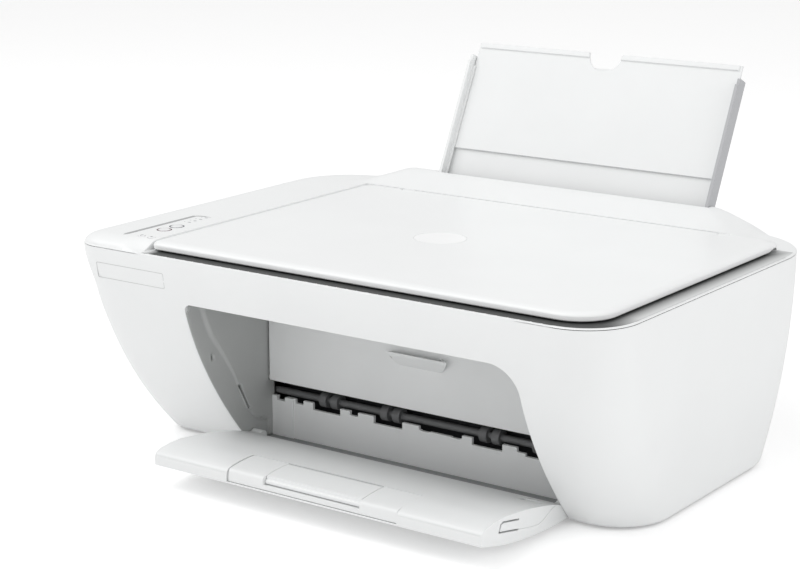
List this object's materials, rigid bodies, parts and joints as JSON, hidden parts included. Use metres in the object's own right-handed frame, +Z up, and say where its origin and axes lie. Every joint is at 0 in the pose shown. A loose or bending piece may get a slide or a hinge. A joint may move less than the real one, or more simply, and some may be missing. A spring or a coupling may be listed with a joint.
{
  "type": "inkjet printer",
  "caption": "Flatbed all-in-one inkjet printer with a rear paper support, a hinged scanner lid, a front output opening with a fold-down tray, and a working print engine.",
  "frame": {"origin": "on the ground under the centre of the case, between the feet", "axes": "+X to the printer's right seen from the front, +Y to its rear, +Z up"},
  "size_m": [0.425, 0.3761, 0.2601],
  "materials": {
    "case_white": "satin",
    "lid_white": "satin",
    "liner_grey": "fine texture",
    "door_grey": "fine texture",
    "tray_white": "satin",
    "base_grey": "textured",
    "black_plastic": "satin",
    "dark_plastic": "satin",
    "gear_plastic": "satin",
    "roller_rubber": "matt",
    "foot_rubber": "matt",
    "steel": "brushed",
    "bright_steel": "polished",
    "zinc": "zinc plated",
    "brass": "machined",
    "glass": "polished",
    "foam_white": "soft foam",
    "board_green": "solder mask",
    "guide_blue": "satin",
    "ink_blue": "satin",
    "inlay_grey": "gloss",
    "button_white": "satin",
    "lamp_clear": "translucent"
  },
  "bodies": {
    "case": {"outer_case": "case_white", "base_pan": "base_grey", "feet": "foot_rubber", "case_screws": "zinc", "top_frame": "case_white", "scan_glass": "glass", "scanner_tub": "dark_plastic", "scan_rod": "bright_steel", "button_board": "board_green", "status_bar": "inlay_grey", "status_lights": "lamp_clear", "cavity_liner": "liner_grey", "exit_wall": "door_grey", "paper_ramp": "dark_plastic", "chassis_left": "zinc", "chassis_right": "zinc", "carriage_rail": "steel", "carriage_rod": "bright_steel", "carriage_belt": "roller_rubber", "carriage_motor": "steel", "platen": "dark_plastic", "feed_motor": "steel", "pinch_arm": "dark_plastic", "star_bar": "black_plastic", "service_base": "dark_plastic", "main_board": "board_green", "power_unit": "black_plastic", "power_inlet": "black_plastic", "usb_port": "bright_steel"},
    "scanner_lid": {"lid": "lid_white", "lid_pad": "foam_white", "lid_pins": "bright_steel"},
    "ink_door": {"access_door": "door_grey"},
    "out_tray": {"output_tray": "tray_white"},
    "out_extension": {"output_extension": "tray_white"},
    "out_flap": {"paper_flap": "tray_white"},
    "support": {"input_tray": "tray_white"},
    "support_extension": {"input_extension": "tray_white"},
    "paper_guide": {"width_guide": "guide_blue"},
    "print_carriage": {"carriage": "black_plastic", "black_cartridge": "black_plastic", "colour_cartridge": "ink_blue"},
    "belt_drive": {"carriage_pulley": "brass"},
    "belt_idler": {"idler_pulley": "gear_plastic"},
    "scan_bar": {"scan_head": "black_plastic"},
    "feed_shaft": {"feed_roller": "steel", "feed_gear": "gear_plastic"},
    "pinion": {"motor_pinion": "brass"},
    "idler": {"idler_gear": "gear_plastic"},
    "exit_shaft": {"exit_roller": "roller_rubber", "exit_gear": "gear_plastic"},
    "pinch_shaft": {"pinch_rollers": "dark_plastic"},
    "star_shaft": {"star_wheels": "black_plastic"},
    "pick_shaft": {"pick_roller": "roller_rubber"},
    "sled": {"service_sled": "dark_plastic"},
    "colour_key": {"colour_button": "button_white"},
    "mono_key": {"mono_button": "button_white"},
    "cancel_key": {"cancel_button": "button_white"},
    "resume_key": {"resume_button": "button_white"}
  },
  "joints": [
    {"name": "lid_hinge", "type": "hinge", "parent": "case", "child": "scanner_lid", "pos_m": [0, 0.105, 0.1539], "axis": [-1, 0, 0], "range_deg": [0, 80]},
    {"name": "ink_door_hinge", "type": "hinge", "parent": "case", "child": "ink_door", "pos_m": [0, -0.057, 0.048], "axis": [1, 0, 0], "range_deg": [0, 85]},
    {"name": "output_tray_hinge", "type": "hinge", "parent": "case", "child": "out_tray", "pos_m": [0, -0.076, 0.0105], "axis": [1, 0, 0], "range_deg": [-51, 0]},
    {"name": "output_extension_slide", "type": "slide", "parent": "out_tray", "child": "out_extension", "axis": [0, -0.9969, 0.0785], "range_m": [0, 0.06]},
    {"name": "paper_flap_hinge", "type": "hinge", "parent": "out_extension", "child": "out_flap", "pos_m": [0, -0.17424, 0.02151], "axis": [1, 0, 0], "range_deg": [0, 110]},
    {"name": "paper_support_slide", "type": "slide", "parent": "case", "child": "support", "axis": [0, 0.4384, 0.8988], "range_m": [-0.09, 0]},
    {"name": "support_extension_slide", "type": "slide", "parent": "support", "child": "support_extension", "axis": [0, 0.4384, 0.8988], "range_m": [-0.011, 0.06]},
    {"name": "width_guide_slide", "type": "slide", "parent": "case", "child": "paper_guide", "axis": [1, 0, 0], "range_m": [0, 0.12]},
    {"name": "carriage_slide", "type": "slide", "parent": "case", "child": "print_carriage", "axis": [1, 0, 0], "range_m": [-0.26, 0]},
    {"name": "belt_drive_spin", "type": "hinge", "parent": "case", "child": "belt_drive", "pos_m": [-0.126, 0, 0.09], "axis": [0, 1, 0], "continuous": true},
    {"name": "belt_idler_spin", "type": "hinge", "parent": "case", "child": "belt_idler", "pos_m": [0.19, 0, 0.09], "axis": [0, 1, 0], "continuous": true},
    {"name": "scan_head_slide", "type": "slide", "parent": "case", "child": "scan_bar", "axis": [1, 0, 0], "range_m": [0, 0.3]},
    {"name": "feed_shaft_spin", "type": "hinge", "parent": "case", "child": "feed_shaft", "pos_m": [0, 0.024, 0.036], "axis": [1, 0, 0], "continuous": true},
    {"name": "motor_pinion_spin", "type": "hinge", "parent": "case", "child": "pinion", "pos_m": [0, 0.04784, 0.04711], "axis": [1, 0, 0], "continuous": true},
    {"name": "idler_gear_spin", "type": "hinge", "parent": "case", "child": "idler", "pos_m": [0, -0.01301, 0.03134], "axis": [1, 0, 0], "continuous": true},
    {"name": "exit_shaft_spin", "type": "hinge", "parent": "case", "child": "exit_shaft", "pos_m": [0, -0.048, 0.036], "axis": [1, 0, 0], "continuous": true},
    {"name": "pinch_shaft_spin", "type": "hinge", "parent": "case", "child": "pinch_shaft", "pos_m": [0, 0.024, 0.0463], "axis": [1, 0, 0], "continuous": true},
    {"name": "star_shaft_spin", "type": "hinge", "parent": "case", "child": "star_shaft", "pos_m": [0, -0.048, 0.046], "axis": [1, 0, 0], "continuous": true},
    {"name": "pick_shaft_spin", "type": "hinge", "parent": "case", "child": "pick_shaft", "pos_m": [0, 0.10097, 0.10474], "axis": [1, 0, 0], "continuous": true},
    {"name": "service_sled_lift", "type": "slide", "parent": "case", "child": "sled", "axis": [0, 0, 1], "range_m": [-0.006, 0]},
    {"name": "colour_button_press", "type": "slide", "parent": "case", "child": "colour_key", "axis": [0, 0, -1], "range_m": [0, 0.0008], "stiffness_N_per_m": 800, "springref_m": -0.0003},
    {"name": "mono_button_press", "type": "slide", "parent": "case", "child": "mono_key", "axis": [0, 0, -1], "range_m": [0, 0.0008], "stiffness_N_per_m": 800, "springref_m": -0.0003},
    {"name": "cancel_button_press", "type": "slide", "parent": "case", "child": "cancel_key", "axis": [0, 0, -1], "range_m": [0, 0.0008], "stiffness_N_per_m": 800, "springref_m": -0.0003},
    {"name": "resume_button_press", "type": "slide", "parent": "case", "child": "resume_key", "axis": [0, 0, -1], "range_m": [0, 0.0008], "stiffness_N_per_m": 800, "springref_m": -0.0003}
  ],
  "couplings": [
    {"joint": "motor_pinion_spin", "follows": "feed_shaft_spin", "ratio": -3.3333},
    {"joint": "idler_gear_spin", "follows": "feed_shaft_spin", "ratio": -1.1765},
    {"joint": "exit_shaft_spin", "follows": "feed_shaft_spin", "ratio": 1.1111},
    {"joint": "pinch_shaft_spin", "follows": "feed_shaft_spin", "ratio": -1.5},
    {"joint": "star_shaft_spin", "follows": "feed_shaft_spin", "ratio": -1.5278},
    {"joint": "belt_drive_spin", "follows": "carriage_slide", "rad_per_m": -181.8},
    {"joint": "belt_idler_spin", "follows": "carriage_slide", "rad_per_m": -181.8}
  ]
}
